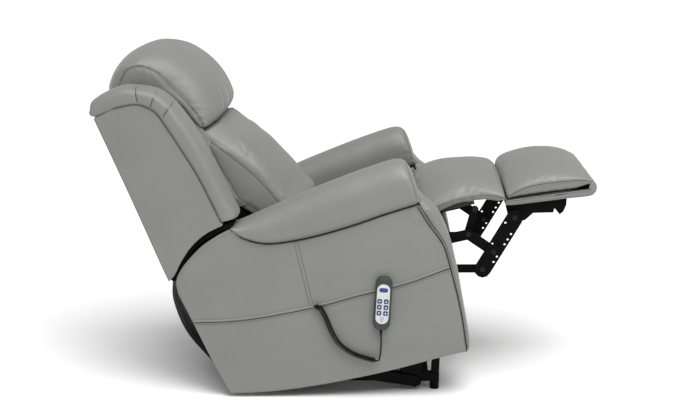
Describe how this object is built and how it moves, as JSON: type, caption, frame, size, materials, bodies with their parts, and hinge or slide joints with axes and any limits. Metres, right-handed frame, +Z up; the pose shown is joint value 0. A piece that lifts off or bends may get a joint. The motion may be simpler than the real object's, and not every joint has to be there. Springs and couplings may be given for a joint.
{
  "type": "lift recliner chair",
  "caption": "Powered lift chair with tilting seat unit, reclining back, scissor-link legrest, padded arms and a corded handset.",
  "frame": {"origin": "On the floor, at the middle of the chair's length and width in the rest pose.", "axes": "+Z up; the chair faces -Y; +X is the sitter's left. Rest pose: seat unit tilted fully back, legrest out, backrest upright."},
  "size_m": [0.8411, 1.5248, 1.068],
  "materials": {
    "leather": "satin grained leather, warm grey",
    "leather_dark": "dark grey leather",
    "timber": "plywood and hardwood frame, covered",
    "black_steel": "black powder coat",
    "bright_steel": "zinc plated",
    "handset_plastic": "dark grey moulded housing",
    "cord_rubber": "black cable jacket",
    "button_plastic": "navy push buttons"
  },
  "bodies": {
    "base": {"base_side_left": "black_steel", "base_side_right": "black_steel", "base_cross_front": "black_steel", "base_cross_rear": "black_steel"},
    "lift_arms": {"lift_arm_left": "black_steel", "lift_arm_right": "black_steel", "lift_arm_cross": "black_steel"},
    "lift_motor": {"lift_motor": "black_steel"},
    "lift_rod": {"lift_rod": "bright_steel"},
    "carriage": {"carriage_side_left": "bright_steel", "carriage_side_right": "bright_steel", "carriage_cross_front": "black_steel", "carriage_cross_rear": "black_steel"},
    "seat_unit": {"mechanism_plate_left": "black_steel", "mechanism_plate_right": "black_steel", "seat_deck": "timber", "seat_cushion": "leather", "rear_apron": "leather_dark", "arm_panel_left": "leather", "arm_panel_right": "leather", "arm_frame_left": "leather", "arm_frame_right": "leather", "arm_roll_left": "leather", "arm_roll_right": "leather", "arm_facing_left": "leather", "arm_facing_right": "leather"},
    "back_motor": {"back_motor": "black_steel"},
    "back_rod": {"back_rod": "bright_steel"},
    "backrest": {"back_wing_left": "leather", "back_wing_right": "leather", "back_bracket_left": "black_steel", "back_bracket_right": "black_steel", "back_cross": "black_steel", "outside_back": "leather", "back_frame": "leather", "lumbar_cushion": "leather", "head_cushion": "leather"},
    "drive_links": {"leg_drive_link_left": "black_steel", "leg_drive_link_right": "black_steel"},
    "long_links": {"leg_long_link_left": "black_steel", "leg_long_link_right": "black_steel"},
    "lower_links": {"leg_lower_link_left": "black_steel", "leg_lower_link_right": "black_steel"},
    "flap_links": {"leg_flap_link_left": "black_steel", "leg_flap_link_right": "black_steel"},
    "footrest": {"footrest_bracket_left": "black_steel", "footrest_bracket_right": "black_steel", "footrest_board": "leather_dark", "footrest_pad": "leather"},
    "flap": {"flap_board": "timber", "chaise_pad": "leather"},
    "handset": {"handset": "handset_plastic", "handset_cord": "cord_rubber", "handset_lead": "cord_rubber"},
    "button_1_1": {"button_1_1": "button_plastic"},
    "button_1_2": {"button_1_2": "button_plastic"},
    "button_2_1": {"button_2_1": "button_plastic"},
    "button_2_2": {"button_2_2": "button_plastic"},
    "button_3_1": {"button_3_1": "button_plastic"},
    "button_3_2": {"button_3_2": "button_plastic"}
  },
  "joints": [
    {"name": "lift", "type": "hinge", "parent": "base", "child": "lift_arms", "pos_m": [0, 0.19, 0.084], "axis": [-1, 0, 0], "range_deg": [0, 35]},
    {"name": "lift_level", "type": "hinge", "parent": "lift_arms", "child": "carriage", "pos_m": [0, -0.211, 0.031], "axis": [1, 0, 0], "range_deg": [0, 60]},
    {"name": "lift_motor_swing", "type": "hinge", "parent": "base", "child": "lift_motor", "pos_m": [0, 0.29, 0.075], "axis": [-1, 0, 0], "range_deg": [0, 45.62]},
    {"name": "lift_rod_slide", "type": "slide", "parent": "lift_motor", "child": "lift_rod", "axis": [0, -0.9999, 0.0162], "range_m": [0, 0.13494]},
    {"name": "tilt", "type": "hinge", "parent": "carriage", "child": "seat_unit", "pos_m": [0, 0.0398, 0.085], "axis": [1, 0, 0], "range_deg": [0, 14]},
    {"name": "recline", "type": "hinge", "parent": "seat_unit", "child": "backrest", "pos_m": [0, 0.23941, 0.25215], "axis": [-1, 0, 0], "range_deg": [0, 45]},
    {"name": "back_motor_swing", "type": "hinge", "parent": "seat_unit", "child": "back_motor", "pos_m": [0, -0.05267, 0.3662], "axis": [-1, 0, 0], "range_deg": [0, 6.77]},
    {"name": "back_rod_slide", "type": "slide", "parent": "back_motor", "child": "back_rod", "axis": [0, 0.9941, -0.1086], "range_m": [0, 0.05154]},
    {"name": "legrest", "type": "hinge", "parent": "seat_unit", "child": "drive_links", "pos_m": [0, -0.27344, 0.46123], "axis": [1, 0, 0], "range_deg": [0, 90.28]},
    {"name": "legrest_long", "type": "hinge", "parent": "drive_links", "child": "long_links", "pos_m": [0, -0.45516, 0.43141], "axis": [-1, 0, 0], "range_deg": [0, 109.4]},
    {"name": "legrest_foot", "type": "hinge", "parent": "long_links", "child": "footrest", "pos_m": [0, -0.51875, 0.54012], "axis": [1, 0, 0], "range_deg": [0, 109.1]},
    {"name": "legrest_lower", "type": "hinge", "parent": "seat_unit", "child": "lower_links", "pos_m": [0, -0.26077, 0.37274], "axis": [1, 0, 0], "range_deg": [0, 101.6]},
    {"name": "legrest_flap", "type": "hinge", "parent": "seat_unit", "child": "flap", "pos_m": [0, -0.23712, 0.55648], "axis": [1, 0, 0], "range_deg": [0, 55], "deforming": ["chaise_pad"]},
    {"name": "legrest_flap_link", "type": "hinge", "parent": "drive_links", "child": "flap_links", "pos_m": [0, -0.37557, 0.48525], "axis": [-1, 0, 0], "range_deg": [0, 110.3]},
    {"name": "handset_lift", "type": "slide", "parent": "seat_unit", "child": "handset", "axis": [0, 0, 1], "range_m": [0, 0.12]},
    {"name": "press_1_1", "type": "slide", "parent": "handset", "child": "button_1_1", "axis": [1, 0, 0], "range_m": [0, 0.0012], "stiffness_N_per_m": 900, "springref_m": -0.0004},
    {"name": "press_1_2", "type": "slide", "parent": "handset", "child": "button_1_2", "axis": [1, 0, 0], "range_m": [0, 0.0012], "stiffness_N_per_m": 900, "springref_m": -0.0004},
    {"name": "press_2_1", "type": "slide", "parent": "handset", "child": "button_2_1", "axis": [1, 0, 0], "range_m": [0, 0.0012], "stiffness_N_per_m": 900, "springref_m": -0.0004},
    {"name": "press_2_2", "type": "slide", "parent": "handset", "child": "button_2_2", "axis": [1, 0, 0], "range_m": [0, 0.0012], "stiffness_N_per_m": 900, "springref_m": -0.0004},
    {"name": "press_3_1", "type": "slide", "parent": "handset", "child": "button_3_1", "axis": [1, 0, 0], "range_m": [0, 0.0012], "stiffness_N_per_m": 900, "springref_m": -0.0004},
    {"name": "press_3_2", "type": "slide", "parent": "handset", "child": "button_3_2", "axis": [1, 0, 0], "range_m": [0, 0.0012], "stiffness_N_per_m": 900, "springref_m": -0.0004}
  ],
  "couplings": [
    {"joint": "lift_level", "follows": "lift", "ratio": 1.7143},
    {"joint": "lift_motor_swing", "follows": "lift", "ratio": 1.3033},
    {"joint": "lift_rod_slide", "follows": "lift", "m_per_rad": 0.22089},
    {"joint": "back_motor_swing", "follows": "recline", "ratio": 0.15048},
    {"joint": "back_rod_slide", "follows": "recline", "m_per_rad": 0.065626},
    {"joint": "legrest_long", "follows": "legrest", "ratio": 1.2118},
    {"joint": "legrest_foot", "follows": "legrest", "ratio": 1.2085},
    {"joint": "legrest_lower", "follows": "legrest", "ratio": 1.1254},
    {"joint": "legrest_flap", "follows": "legrest", "ratio": 0.60922},
    {"joint": "legrest_flap_link", "follows": "legrest", "ratio": 1.2218}
  ]
}
